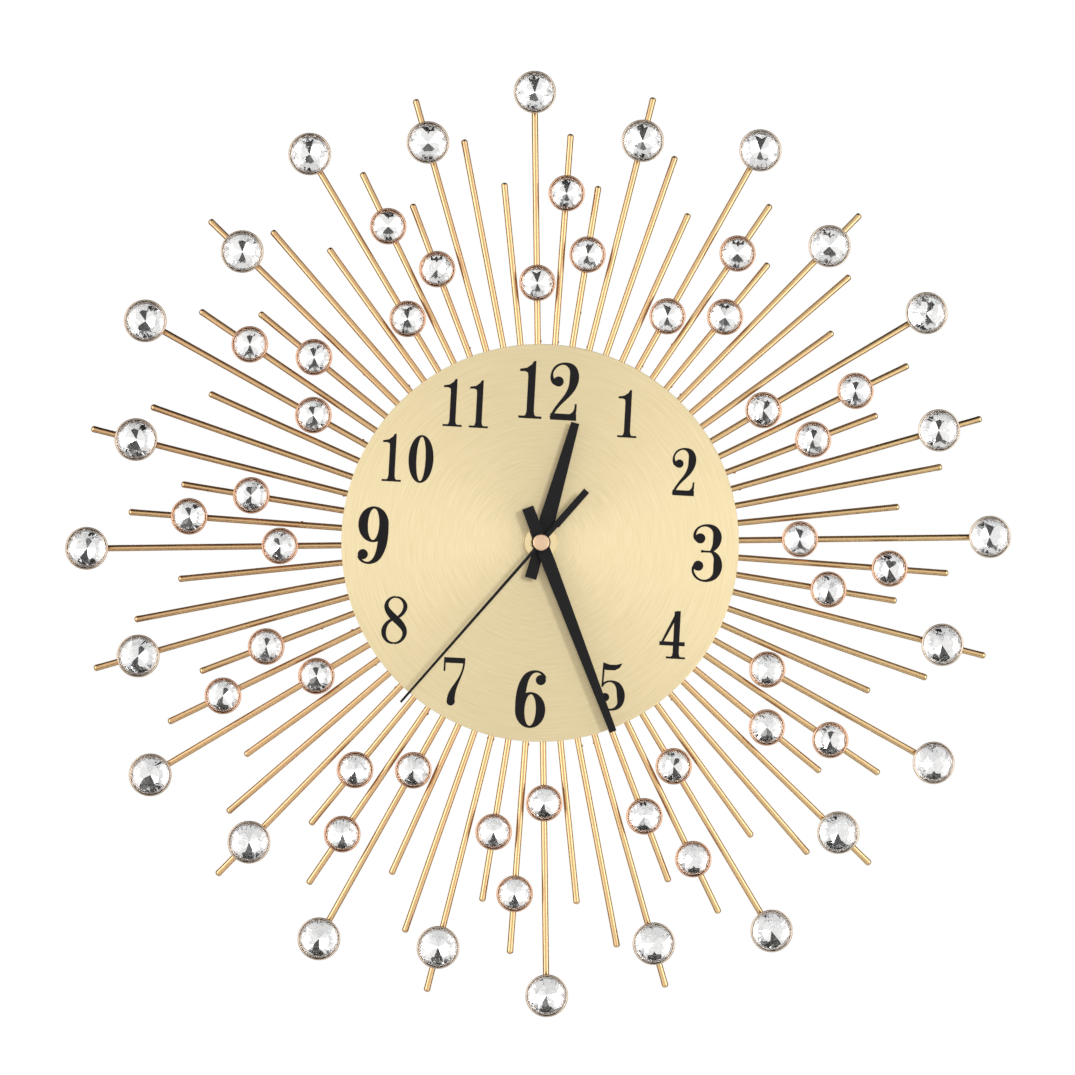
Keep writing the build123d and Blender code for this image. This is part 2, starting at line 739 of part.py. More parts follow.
def across(width, height, x_from, x_to, mode=Mode.ADD):
    """A bar along X round the coil's core."""
    with BuildSketch(Plane.YZ.offset(x_from)) as outline:
        with Locations((-stator_middle, coil_height)):
            RectangleRounded(width, height, min(width, height) * 0.2)
    extrude(outline.sketch, amount=x_to - x_from, mode=mode)


with BuildPart() as coil_bobbin:
    across(2.0, 2.6, -8.5, 10.5)
    across(5.6, 5.0, -8.5, -7.7)
    across(5.6, 5.0, 9.7, 10.5)
    with BuildSketch(Plane.YZ.offset(-10)):
        with Locations((-stator_middle, coil_height)):
            Rectangle(0.9, 1.8)
    extrude(amount=22, mode=Mode.SUBTRACT)
save(coil_bobbin, "coil_bobbin")

with BuildPart() as coil_winding:
    across(5.0, 4.6, -7.7, 9.7)
    across(2.0, 2.6, -7.7, 9.7, mode=Mode.SUBTRACT)
save(coil_winding, "coil_winding")

nipple_length = 1.2
nipple_radius = 2.75
with BuildPart() as battery:
    with BuildSketch(Plane.YZ.offset(-battery_length / 2)):
        with Locations((-battery_depth, battery_height)):
            Circle(battery_radius)
    extrude(amount=battery_length - nipple_length)
    fillet(battery.edges().filter_by(GeomType.CIRCLE), radius=0.6)
    with BuildSketch(Plane.YZ.offset(battery_length / 2 - nipple_length)):
        with Locations((-battery_depth, battery_height)):
            Circle(nipple_radius)
    extrude(amount=nipple_length)
save(battery, "battery")

contact_sheet = 0.4
contact_middle = case_width / 2 - case_wall - 0.05 - contact_sheet / 2
contact_touch = battery_length / 2 + 0.6
for side, label in ((1, "positive_contact"), (-1, "negative_contact")):
    with BuildPart() as contact:
        with BuildSketch(Plane.XZ.offset(3.2)):
            with BuildLine():
                Polyline(
                    (side * contact_middle, battery_height - 5.4),
                    (side * contact_middle, battery_height - 4),
                    (side * contact_touch, battery_height),
                    (side * contact_middle, battery_height + 4),
                    (side * contact_middle, battery_height + 5.4),
                )
                offset(amount=contact_sheet / 2, side=Side.BOTH)
            make_face()
        extrude(amount=8)
    save(contact, label)

# ---------------------------------------------------------------------------
# Hands, all pointing at twelve in their own sketch and turned to the hour they show at rest
# ---------------------------------------------------------------------------
hour_turn = 13.0
minute_turn = 156.1
second_turn = 218.3


def hand_plane(depth, turn):
    """Facing plane whose y runs along a hand turned clockwise."""
    return Plane(seat(depth, turn=turn))


def blade(depth, turn, tail, tail_half, neck_half, wide_at, wide_half, tip, tip_half, hub, hole):
    """A straight tapered hand with a square tail and a round hub on its pipe."""
    with BuildSketch(hand_plane(depth, turn)) as outline:
        with BuildLine():
            Polyline(
                (-tail_half, -tail),
                (tail_half, -tail),
                (neck_half, 0),
                (wide_half, wide_at),
                (tip_half, tip),
                (-tip_half, tip),
                (-wide_half, wide_at),
                (-neck_half, 0),
                close=True,
            )
        make_face()
        Circle(hub)
        Circle(hole, mode=Mode.SUBTRACT)
    extrude(outline.sketch, amount=hand_thickness)


with BuildPart() as hour_hand:
    blade(hour_hand_depth, hour_turn, tail=23.6, tail_half=3.75, neck_half=3.4, wide_at=15,
          wide_half=5.0, tip=79, tip_half=2.65, hub=5.6, hole=hour_pipe_radius)
save(hour_hand, "hour_hand")

with BuildPart() as minute_hand:
    blade(minute_hand_depth, minute_turn, tail=23.7, tail_half=3.75, neck_half=4.0, wide_at=15,
          wide_half=4.3, tip=128, tip_half=2.3, hub=5.6, hole=minute_pipe_radius)
save(minute_hand, "minute_hand")

second_tip = 134.0
with BuildPart() as second_hand:
    with BuildSketch(hand_plane(second_hand_depth, second_turn)):
        with BuildLine():
            Polyline((-1.0, 0), (-0.75, second_tip), (0.75, second_tip), (1.0, 0), close=True)
        make_face()
        with Locations((0, -7)):
            Rectangle(2.9, 14.6)
        with Locations((0, -28.9)):
            Rectangle(4.3, 29.4)
        Circle(3.0)
        Circle(second_shaft_radius, mode=Mode.SUBTRACT)
    extrude(amount=second_thickness)
    disc(28.7, second_hand_depth, 1.3, hole=second_shaft_radius)
save(second_hand, "second_hand")

hub_rear = second_hand_depth + second_thickness
hub_front = hub_rear + 0.5
cap_front = hub_front + 1.4
with BuildPart() as hand_hub:
    disc(hub_rear, hub_front, 5.9)
save(hand_hub, "hand_hub")

with BuildPart() as hub_cap:
    disc(hub_front, cap_front, 5.2)
    fillet(hub_cap.faces().sort_by(Axis.Y)[0].edges(), radius=0.7)
save(hub_cap, "hub_cap")
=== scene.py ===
# %% [markdown]
# # Sunburst wall clock
# A quartz wall clock: a circular-brushed gold dial in the middle of seventy-two welded rods that carry
# foil-backed acrylic stones in spun cups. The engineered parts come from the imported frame. This lesson
# dresses them in finishes, cuts the stones properly, adds weld beads and moulded marks, and lights it all.

from math import cos, pi, radians, sin

import bpy
import bmesh
from mathutils import Matrix, Vector


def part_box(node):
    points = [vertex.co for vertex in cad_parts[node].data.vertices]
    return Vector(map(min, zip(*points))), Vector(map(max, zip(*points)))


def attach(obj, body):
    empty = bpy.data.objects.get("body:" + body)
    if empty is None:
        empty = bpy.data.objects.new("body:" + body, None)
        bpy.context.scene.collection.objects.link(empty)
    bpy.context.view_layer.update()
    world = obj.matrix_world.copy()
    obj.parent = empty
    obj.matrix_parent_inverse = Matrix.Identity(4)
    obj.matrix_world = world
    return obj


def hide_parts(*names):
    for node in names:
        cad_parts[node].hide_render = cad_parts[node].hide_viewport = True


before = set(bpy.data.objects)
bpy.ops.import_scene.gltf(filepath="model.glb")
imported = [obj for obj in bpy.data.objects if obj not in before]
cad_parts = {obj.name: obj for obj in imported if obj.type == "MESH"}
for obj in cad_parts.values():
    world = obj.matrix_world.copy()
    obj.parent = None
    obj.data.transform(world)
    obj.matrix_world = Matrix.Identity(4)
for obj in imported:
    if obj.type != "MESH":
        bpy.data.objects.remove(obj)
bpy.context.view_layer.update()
MM = 0.001

# %% [markdown]
# ## Small helpers
# A designer picks colours as sRGB hex values, but shaders mix light in linear values, so one function
# turns the one into the other. A second function adds a node, sets it up and wires it in one call:
# that keeps each material short enough to read as a recipe. The rest are the patterns that every finish
# here is made of: soft noise, two shades that follow it, and a roughness that wanders a little with it.

# %% Helpers for colours and nodes


def colour(hex_code, alpha=1.0):
    """An sRGB hex colour as linear RGBA."""
    channels = [int(hex_code[i : i + 2], 16) / 255 for i in (1, 3, 5)]
    linear = [c / 12.92 if c <= 0.04045 else ((c + 0.055) / 1.055) ** 2.4 for c in channels]
    return (*linear, alpha)


def add_node(tree, kind, settings=None, links=None, **values):
    """Adds a node: settings are its own properties, values its sockets by number, links its inputs."""
    node = tree.nodes.new(kind)
    for name, value in (settings or {}).items():
        setattr(node, name, value)
    for name, value in values.items():
        node.inputs[int(name[1:])].default_value = value
    for name, socket in (links or {}).items():
        tree.links.new(socket, node.inputs[int(name[1:])])
    return node


def new_finish(name, **constants):
    """A material with one Principled shader whose constant sockets are set by name."""
    material = bpy.data.materials.new(name)
    material.use_nodes = True
    shader = material.node_tree.nodes["Principled BSDF"]
    for socket, value in constants.items():
        shader.inputs[socket.replace("_", " ")].default_value = value
    return material, material.node_tree, shader


def object_place(tree):
    """Object coordinates, which are real metres in the clock's own frame."""
    return tree.nodes.new("ShaderNodeTexCoord").outputs["Object"]


def ramp(tree, factor, stops):
    """A colour ramp from (position, hex colour) stops."""
    node = add_node(tree, "ShaderNodeValToRGB", links={"i0": factor})
    elements = node.color_ramp.elements
    while len(elements) < len(stops):
        elements.new(0.5)
    for element, (position, code) in zip(elements, stops):
        element.position = position
        element.color = colour(code)
    return node.outputs["Color"]


def bump(tree, shader, height, strength, distance):
    """Roughens the surface by a height pattern, with the distance in metres."""
    node = add_node(tree, "ShaderNodeBump", i0=strength, i1=distance, links={"i3": height})
    tree.links.new(node.outputs["Normal"], shader.inputs["Normal"])


def noise(tree, place, period_mm, detail=2.0, rough=0.5):
    """Smooth noise whose blobs are about period_mm across."""
    node = add_node(tree, "ShaderNodeTexNoise", links={"i0": place})
    node.inputs["Scale"].default_value = 1 / (period_mm * MM)
    node.inputs["Detail"].default_value = detail
    node.inputs["Roughness"].default_value = rough
    return node.outputs["Fac"]


def between(tree, factor, low, high):
    """Maps a 0 to 1 pattern onto low to high."""
    node = add_node(tree, "ShaderNodeMapRange", i3=low, i4=high, links={"i0": factor})
    return node.outputs["Result"]


def paint(tree, shader, pattern, dark, light, span=(0.3, 0.7)):
    """Blends two shades as the pattern crosses the span, which most of a noise stays inside."""
    shades = ramp(tree, pattern, [(span[0], dark), (span[1], light)])
    tree.links.new(shades, shader.inputs["Base Color"])


def scuff(tree, shader, pattern, roughness):
    """Lets the roughness wander 15 % either way with the pattern."""
    uneven = between(tree, pattern, roughness * 0.85, roughness * 1.15)
    tree.links.new(uneven, shader.inputs["Roughness"])


# %% [markdown]
# ## Rose-gold plated wire
# The rods are drawn steel wire, copper plated, then flashed with gold and lacquered. The lacquer is smooth,
# so each rod shows a clean light line with brown edges. Where the gold is thin the copper below shows
# through in soft patches. The colour also turns more coppery towards the left: that is a painted warm
# reflection, set by place across the clock, and every plated finish here carries it. A metal needs no
# texture to look like metal: its colour is the colour of its reflection, so the variation stays low and
# most of the work is left to the lights.

# %% Rods and cups
HALF_SPAN = 300 * MM          # how far the sunburst reaches to each side
PAINTED_REFLECTION_RIGHT = -0.1           # how far the painted warm reflection turns the colour towards copper at the two ends
PAINTED_REFLECTION_LEFT = 0.5
PATCH_WEIGHT = 0.6            # what the soft patches add to that
WAVE_MM = 9                   # the slight waviness of drawn wire and spun sheet


def plated(name, gold, copper, roughness, patch_mm):
    """Plated metal that is more coppery in soft patches, with a painted warm reflection that makes it more
    coppery on the left.
    """
    material, tree, shader = new_finish(name, Metallic=1.0)
    place = object_place(tree)
    split = add_node(tree, "ShaderNodeSeparateXYZ", links={"i0": place})
    # A painted warm reflection: the colour runs from gold on the right to copper on the left of the clock.
    painted_warm_reflection = add_node(tree, "ShaderNodeMapRange", i1=HALF_SPAN, i2=-HALF_SPAN,
                    i3=PAINTED_REFLECTION_RIGHT, i4=PAINTED_REFLECTION_LEFT, links={"i0": split.outputs["X"]})
    patches = noise(tree, place, patch_mm, detail=3)
    # The copper share: real thin-gold patches plus the painted warm reflection.
    share = add_node(tree, "ShaderNodeMath", {"operation": "MULTIPLY_ADD"},
                     {"i0": patches, "i2": painted_warm_reflection.outputs["Result"]}, i1=PATCH_WEIGHT)
    paint(tree, shader, share.outputs["Value"], gold, copper, span=(0.1, 0.9))
    scuff(tree, shader, patches, roughness)
    bump(tree, shader, noise(tree, place, WAVE_MM, detail=1), strength=0.06, distance=0.05 * MM)
    return material


rod_finish = plated("rose_gold_plated_wire", "#E5C592", "#D9AF82", roughness=0.27, patch_mm=45)
small_cup_finish = plated("rose_gold_spun_cup", "#DDB596", "#C6967A", roughness=0.18, patch_mm=21)
large_cup_finish = plated("pale_champagne_spun_cup", "#D6C6B4", "#BDA894", roughness=0.18, patch_mm=24)
sheet_finish = plated("gold_lacquered_sheet", "#D9B880", "#CDA670", roughness=0.34, patch_mm=60)
washer_finish = plated("polished_gold_washer", "#FBE9BE", "#F0D9A4", roughness=0.13, patch_mm=9)
print("plated finishes:", rod_finish.name, small_cup_finish.name, large_cup_finish.name,
      sheet_finish.name, washer_finish.name)

# %% [markdown]
# ## Circular-brushed anodised aluminium
# The dial is spun under an abrasive pad, which leaves fine grooves running round the centre, then
# anodised pale gold. Grooves spread a highlight across themselves, which here is straight out from the
# centre, so lamps at the sides become two bright fans at 3 and 9 o'clock. The shader takes that direction
# as its tangent: it is the place on the dial, flattened and made one unit long. The grooves are noise that
# changes fast with distance from the centre and slowly round it. Real grooves are about 0.05 mm apart,
# too fine to see, so these are drawn at 0.5 mm. The dyed film scatters some of the light before the metal
# can reflect it, so the dial is a little less metallic than the bare cap in its middle.

# %% Dial finish
BREAKS_AROUND = 4.0           # how often the grooves change on their way round


def brushed_round(name, base, dark, roughness, groove_mm, anisotropy, metallic=1.0):
    """Metal with fine grooves round the hands' axis."""
    material, tree, shader = new_finish(name, Metallic=metallic, Anisotropic=anisotropy)
    place = object_place(tree)
    flat = add_node(tree, "ShaderNodeVectorMath", {"operation": "MULTIPLY"},
                    {"i0": place}, i1=(1, 0, 1))
    direction = add_node(tree, "ShaderNodeVectorMath", {"operation": "NORMALIZE"},
                         {"i0": flat.outputs["Vector"]})
    tree.links.new(direction.outputs["Vector"], shader.inputs["Tangent"])
    reach = add_node(tree, "ShaderNodeVectorMath", {"operation": "LENGTH"},
                     {"i0": flat.outputs["Vector"]})
    rings = add_node(tree, "ShaderNodeMath", {"operation": "MULTIPLY"},
                     {"i0": reach.outputs["Value"]}, i1=1 / (groove_mm * MM))
    turn = add_node(tree, "ShaderNodeVectorMath", {"operation": "SCALE"},
                    {"i0": direction.outputs["Vector"]})
    turn.inputs["Scale"].default_value = BREAKS_AROUND
    split = add_node(tree, "ShaderNodeSeparateXYZ", links={"i0": turn.outputs["Vector"]})
    polar = add_node(tree, "ShaderNodeCombineXYZ", links={
        "i0": split.outputs["X"], "i1": rings.outputs["Value"], "i2": split.outputs["Z"]})
    grooves = add_node(tree, "ShaderNodeTexNoise", links={"i0": polar.outputs["Vector"]})
    grooves.inputs["Scale"].default_value = 1.0
    grooves.inputs["Detail"].default_value = 3.0
    lines = grooves.outputs["Fac"]
    paint(tree, shader, lines, dark, base)
    scuff(tree, shader, lines, roughness)
    bump(tree, shader, lines, strength=0.10, distance=0.02 * MM)
    return material


dial_finish = brushed_round("circular_brushed_gold_aluminium", "#DBCBA5", "#CFBF95", roughness=0.38,
                            groove_mm=0.5, anisotropy=0.75, metallic=0.6)
cap_finish = brushed_round("turned_rose_gold_cap", "#F2D2B4", "#E8C3A2", roughness=0.30,
                           groove_mm=0.35, anisotropy=0.4)
print("brushed finishes:", dial_finish.name, cap_finish.name)

# %% [markdown]
# ## Ink, lacquer, mouldings and plain metals
# The numerals are pad-printed: a thin film of black ink with a slight grain. The hands are stamped
# aluminium sprayed satin black, where a fine orange peel softens the reflections. Both reflect little, so
# their specular level is set low and they stay black in a white room. The movement is moulded plastic,
# board, brass and steel. All of these differ only in colour, roughness and the size of their grain, so one
# recipe serves them all.

# %% Coated, moulded and stamped finishes


def coated(name, light, dark, roughness, grain_mm, depth_mm, metallic=0.0, **constants):
    """Paint, ink, plastic or plain metal: two close shades and a fine grain of some depth."""
    material, tree, shader = new_finish(name, Metallic=metallic, **constants)
    place = object_place(tree)
    grain = noise(tree, place, grain_mm, detail=4, rough=0.6)
    paint(tree, shader, grain, dark, light)
    scuff(tree, shader, grain, roughness)
    bump(tree, shader, grain, strength=0.3, distance=depth_mm * MM)
    return material


# Each line: name, light and dark shade, roughness, grain in mm and the depth of the grain in mm
ink_finish = coated("black_pad_printed_ink", "#151315", "#0D0C0E", 0.62, 0.6, 0.01,
                    Specular_IOR_Level=0.15)
hand_finish = coated("satin_black_lacquer", "#131214", "#0C0B0D", 0.42, 0.8, 0.012,
                     Specular_IOR_Level=0.18)
case_finish = coated("spark_textured_black_abs", "#2A2A2C", "#1C1C1E", 0.55, 0.5, 0.05)
gear_finish = coated("white_acetal", "#F1EEE6", "#E4E0D6", 0.4, 1.2, 0.01)
rubber_finish = coated("black_nitrile_rubber", "#232323", "#181818", 0.8, 0.7, 0.04)
board_finish = coated("green_solder_mask", "#1F6B3B", "#175A30", 0.35, 0.9, 0.01)
sleeve_finish = coated("battery_sleeve_plain", "#28594A", "#214B3F", 0.3, 2.5, 0.01)
zinc_finish = coated("zinc_plated_steel", "#C9CBD0", "#AEB2B8", 0.33, 1.5, 0.02, metallic=1.0)
turned_brass = coated("turned_brass", "#DDBB6C", "#CDA95A", 0.25, 0.8, 0.015, metallic=1.0)
lamination = coated("silicon_steel_lamination", "#8E9196", "#7C8086", 0.4, 0.6, 0.02, metallic=1.0)
print("the battery's sleeve is", sleeve_finish.name, "and the case", case_finish.name)

# %% [markdown]
# ## Enamelled copper winding
# The coil is hair-fine copper wire under red-brown enamel, wound in tight even turns. A wave texture
# across the bobbin draws the turns, at 0.3 mm where the real wire is nearer 0.05 mm. It raises each turn
# and paints it dark brown in the groove and orange on the crest: painted shade and painted highlight.

# %% Coil finish
TURN_PITCH = 0.3 * MM
WAVE_SCALE_TO_PITCH = 2 * pi / 20    # a wave texture of scale 1 repeats after this many units
winding_finish, tree, shader = new_finish("enamelled_copper_winding", Metallic=1.0, Roughness=0.3)
turn_shade_wave = add_node(tree, "ShaderNodeTexWave", {"bands_direction": "X"}, {"i0": object_place(tree)})
turn_shade_wave.inputs["Scale"].default_value = WAVE_SCALE_TO_PITCH / TURN_PITCH
turn_shade_wave.inputs["Distortion"].default_value = 0.4
# Painted shade in the grooves between turns and a painted highlight on each crest.
paint(tree, shader, turn_shade_wave.outputs["Fac"], "#7A3A1E", "#C9713F", span=(0.0, 1.0))
bump(tree, shader, turn_shade_wave.outputs["Fac"], strength=0.5, distance=0.1 * MM)
print("coil turns are drawn", round(TURN_PITCH / MM, 2), "mm apart")

# %% [markdown]
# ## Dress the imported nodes
# Each node from the frame takes one finish. Its shape is the engineered one, so only its material slot
# changes.

# %% Give every node its finish
FINISHES = {
    rod_finish: ["rods_a", "rods_b", "rods_c", "rods_d", "rods_e", "rods_f", "stiffening_ring"],
    small_cup_finish: ["small_cups"],
    large_cup_finish: ["large_cups"],
    sheet_finish: ["backing_disc"],
    dial_finish: ["dial_face"],
    cap_finish: ["hub_cap"],
    washer_finish: ["dial_washer"],
    ink_finish: ["numerals"],
    hand_finish: ["hour_hand", "minute_hand", "second_hand", "hand_hub"],
    case_finish: ["movement_case", "movement_cover", "coil_bobbin", "setting_knob"],
    gear_finish: ["seconds_wheel", "intermediate_wheel", "rotor", "third_wheel", "minute_arbor",
                  "motion_wheel", "hour_wheel", "train_bridge"],
    rubber_finish: ["rubber_gasket"],
    board_finish: ["circuit_board"],
    sleeve_finish: ["battery"],
    zinc_finish: ["hanger_bracket", "hanger_rivets", "bridge_screws", "quartz_crystal",
                  "positive_contact", "negative_contact"],
    turned_brass: ["threaded_bushing", "hex_nut"],
    lamination: ["stator"],
    winding_finish: ["coil_winding"],
}
for finish, names in FINISHES.items():
    for name in names:
        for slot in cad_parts[name].material_slots:
            slot.link = "OBJECT"
            slot.material = finish
print("dressed", sum(len(names) for names in FINISHES.values()), "nodes")

# %% [markdown]
# ## Cutting a stone
# The stones are moulded acrylic cut like a brilliant: a flat eight-sided table, star and kite facets
# down to the girdle, and a shallow pointed back that is coated with mirror foil. A sculptor could bevel a
# cone, but a brilliant follows a rule, so a few rings of points joined by triangles give every facet
# exactly flat. Each kite lies in one plane, which fixes the height of the points between the kites.
# The foil stops short of the girdle. There the cup's own metal shows through the stone as a warm ring, so
# the back is cut across at that height and each face is marked as foil or as ring.

# %% One brilliant


SIDES = 8
TABLE_SHARE = 0.56            # of the stone's radius, to the corners of its flat table
STAR_SHARE = 0.78             # and to the tips of the star facets round the table
LOWER_SHARE = 0.42            # and to where the facets behind the girdle meet
RING_SHARE = 0.17             # of the stone's depth behind the girdle that has no foil


def brilliant(name, radius, crown, girdle, pavilion):
    """A cut stone about its own axis, +Z to the viewer, with its girdle's top at z = 0."""
    eighth = 2 * pi / SIDES
    table_radius = radius * TABLE_SHARE
    star_radius = radius * STAR_SHARE
    lower_radius = radius * LOWER_SHARE
    crown_slope = crown / (radius - table_radius)
    star_height = (radius - star_radius * cos(eighth / 2)) * crown_slope
    lower_slope = pavilion / radius
    lower_height = -girdle - (radius - lower_radius * cos(eighth / 2)) * lower_slope

    def round_points(count, offset, reach, height):
        """A ring of points, turned by a part of one step."""
        return [mesh.verts.new((reach * cos(2 * pi * (i + offset) / count),
                                reach * sin(2 * pi * (i + offset) / count), height))
                for i in range(count)]

    mesh = bmesh.new()
    table = round_points(SIDES, 0.0, table_radius, crown)
    star = round_points(SIDES, 0.5, star_radius, star_height)
    top = round_points(2 * SIDES, 0.0, radius, 0.0)
    bottom = round_points(2 * SIDES, 0.0, radius, -girdle)
    lower = round_points(SIDES, 0.5, lower_radius, lower_height)
    culet = mesh.verts.new((0, 0, -girdle - pavilion))
    mesh.faces.new(table)
    for i in range(SIDES):
        j = (i + 1) % SIDES
        near, middle, far = 2 * i, 2 * i + 1, (2 * i + 2) % (2 * SIDES)
        mesh.faces.new((table[i], star[i], table[j]))
        mesh.faces.new((table[j], star[i], top[far], star[j]))
        mesh.faces.new((star[i], top[near], top[middle]))
        mesh.faces.new((star[i], top[middle], top[far]))
        mesh.faces.new((top[near], bottom[near], bottom[middle], top[middle]))
        mesh.faces.new((top[middle], bottom[middle], bottom[far], top[far]))
        mesh.faces.new((bottom[near], lower[i], bottom[middle]))
        mesh.faces.new((bottom[middle], lower[i], bottom[far]))
        mesh.faces.new((lower[i], culet, lower[j], bottom[far]))
    foil_top = -girdle - pavilion * RING_SHARE
    everything = [*mesh.verts, *mesh.edges, *mesh.faces]
    bmesh.ops.bisect_plane(mesh, geom=everything, plane_co=(0, 0, foil_top), plane_no=(0, 0, 1))
    bmesh.ops.recalc_face_normals(mesh, faces=mesh.faces)
    data = bpy.data.meshes.new(name)
    mesh.to_mesh(data)
    mesh.free()
    foil_marks = data.attributes.new("foil", "BOOLEAN", "FACE")
    ring_marks = data.attributes.new("ring", "BOOLEAN", "FACE")
    for face in data.polygons:
        foil_marks.data[face.index].value = face.center.z < foil_top
        ring_marks.data[face.index].value = foil_top < face.center.z < -girdle
    return data


# %% [markdown]
# ## Clear acrylic and foil
# Acrylic bends light a little less than glass. The crown is clear and the back is a mirror seen through
# it, so a ray goes in, bounces off the foil facets and leaves somewhere else: that is the sparkle. The
# foil has a faint crinkle, and the moulded acrylic has soft, slightly uneven facets.

# %% Stone finishes
acrylic, tree, shader = new_finish("moulded_clear_acrylic", IOR=1.49, Transmission_Weight=1.0,
                                   Roughness=0.0)
ripple = noise(tree, object_place(tree), period_mm=7, detail=1)
paint(tree, shader, ripple, "#F7F9FC", "#FFFFFF")
bump(tree, shader, ripple, strength=0.2, distance=0.1 * MM)

foil, tree, shader = new_finish("mirror_foil_back", Metallic=1.0)
crinkle = noise(tree, object_place(tree), period_mm=2.2, detail=2)
paint(tree, shader, crinkle, "#EDEEF0", "#FAFAFA")
tree.links.new(between(tree, crinkle, 0.02, 0.08), shader.inputs["Roughness"])

# The cups' metal as it looks through the stone
small_ring = plated("rose_gold_behind_acrylic", "#EED8C9", "#DFC1AC", roughness=0.3, patch_mm=7)
large_ring = plated("champagne_behind_acrylic", "#F3EEEA", "#DCD2CA", roughness=0.3, patch_mm=7)
print("stone finishes:", acrylic.name, foil.name, small_ring.name, large_ring.name)

# %% [markdown]
# ## Setting sixty stones
# The stones sit in their cups by hand, so each one leans and turns a little differently. Geometry Nodes
# place them: a mesh holds one point for each cup, and the tree puts a stone on every point with a random
# lean and turn. The seed is fixed, so each run gives the same clock.

# %% The sunburst's pattern
SUNBURST_TURN = -3.8          # degrees, clockwise, against the dial
GROUP_STEP = 5                # degrees between neighbouring rods
REPEATS = 12
GROUPS = "abcdef"
LARGE_REACH = {"a": 286.65, "d": 264.0}                  # mm from the axis to each kind of stone
SMALL_REACH = {"a": 165.2, "b": 223.0, "c": 185.7}
CUP_BACK_DEPTH = 17.0                                    # mm out from the wall
LARGE_SEAT = 6.0                                         # mm from a cup's back to its stone's girdle
SMALL_SEAT = 4.75


def spoke(group, repeat, reach_mm, depth_mm):
    """A place on a rod: reach out from the axis and depth out from the wall."""
    turn = radians(SUNBURST_TURN + GROUPS.index(group) * GROUP_STEP + repeat * 360 / REPEATS)
    return Vector((reach_mm * sin(turn), -depth_mm, reach_mm * cos(turn))) * MM


def point_mesh(name, places):
    """A mesh of loose points for a tree to work on."""
    data = bpy.data.meshes.new(name)
    data.from_pydata([tuple(p) for p in places], [], [])
    body = bpy.data.objects.new(name, data)
    bpy.context.scene.collection.objects.link(body)
    return body


def stone_places(reaches, seat):
    """Where the girdles of one size of stone sit."""
    return [spoke(group, repeat, reach, CUP_BACK_DEPTH + seat)
            for group, reach in reaches.items() for repeat in range(REPEATS)]


large_places = stone_places(LARGE_REACH, LARGE_SEAT)
small_places = stone_places(SMALL_REACH, SMALL_SEAT)
print(len(large_places), "large and", len(small_places), "small places")

# %% [markdown]
# A tree is built once with named inputs, such as the largest lean, and then run on a mesh of points. The
# result is copied into a plain mesh, so nothing in the finished scene still depends on the tree. Each
# stone is laid along the line of sight first, then leaned about two axes and turned about its own.

# %% The stone-setting tree


def grow(tree_name, inputs):
    """A geometry tree with named number inputs, its group input and its group output."""
    tree = bpy.data.node_groups.new(tree_name, "GeometryNodeTree")
    tree.interface.new_socket("Geometry", in_out="OUTPUT", socket_type="NodeSocketGeometry")
    tree.interface.new_socket("Geometry", in_out="INPUT", socket_type="NodeSocketGeometry")
    for label in inputs:
        tree.interface.new_socket(label, in_out="INPUT", socket_type="NodeSocketFloat")
    return tree, tree.nodes.new("NodeGroupInput"), tree.nodes.new("NodeGroupOutput")


def bake(carrier, tree, values, name):
    """Runs the tree on the carrier with its inputs set, and returns the result as one plain mesh."""
    modifier = carrier.modifiers.new(tree.name, "NODES")
    modifier.node_group = tree
    for item in tree.interface.items_tree:
        if item.in_out == "INPUT" and item.name in values:
            modifier[item.identifier] = values[item.name]
    graph = bpy.context.evaluated_depsgraph_get()
    data = bpy.data.meshes.new_from_object(carrier.evaluated_get(graph))
    data.name = name
    bpy.data.objects.remove(carrier)
    piece = bpy.data.objects.new(name, data)
    bpy.context.scene.collection.objects.link(piece)
    return piece


FACING_VIEWER = (radians(90), 0.0, 0.0)    # turns +Z to look out from the wall, towards -Y
LARGEST_LEAN = radians(4.0)
LEAN_SEED = 5.0


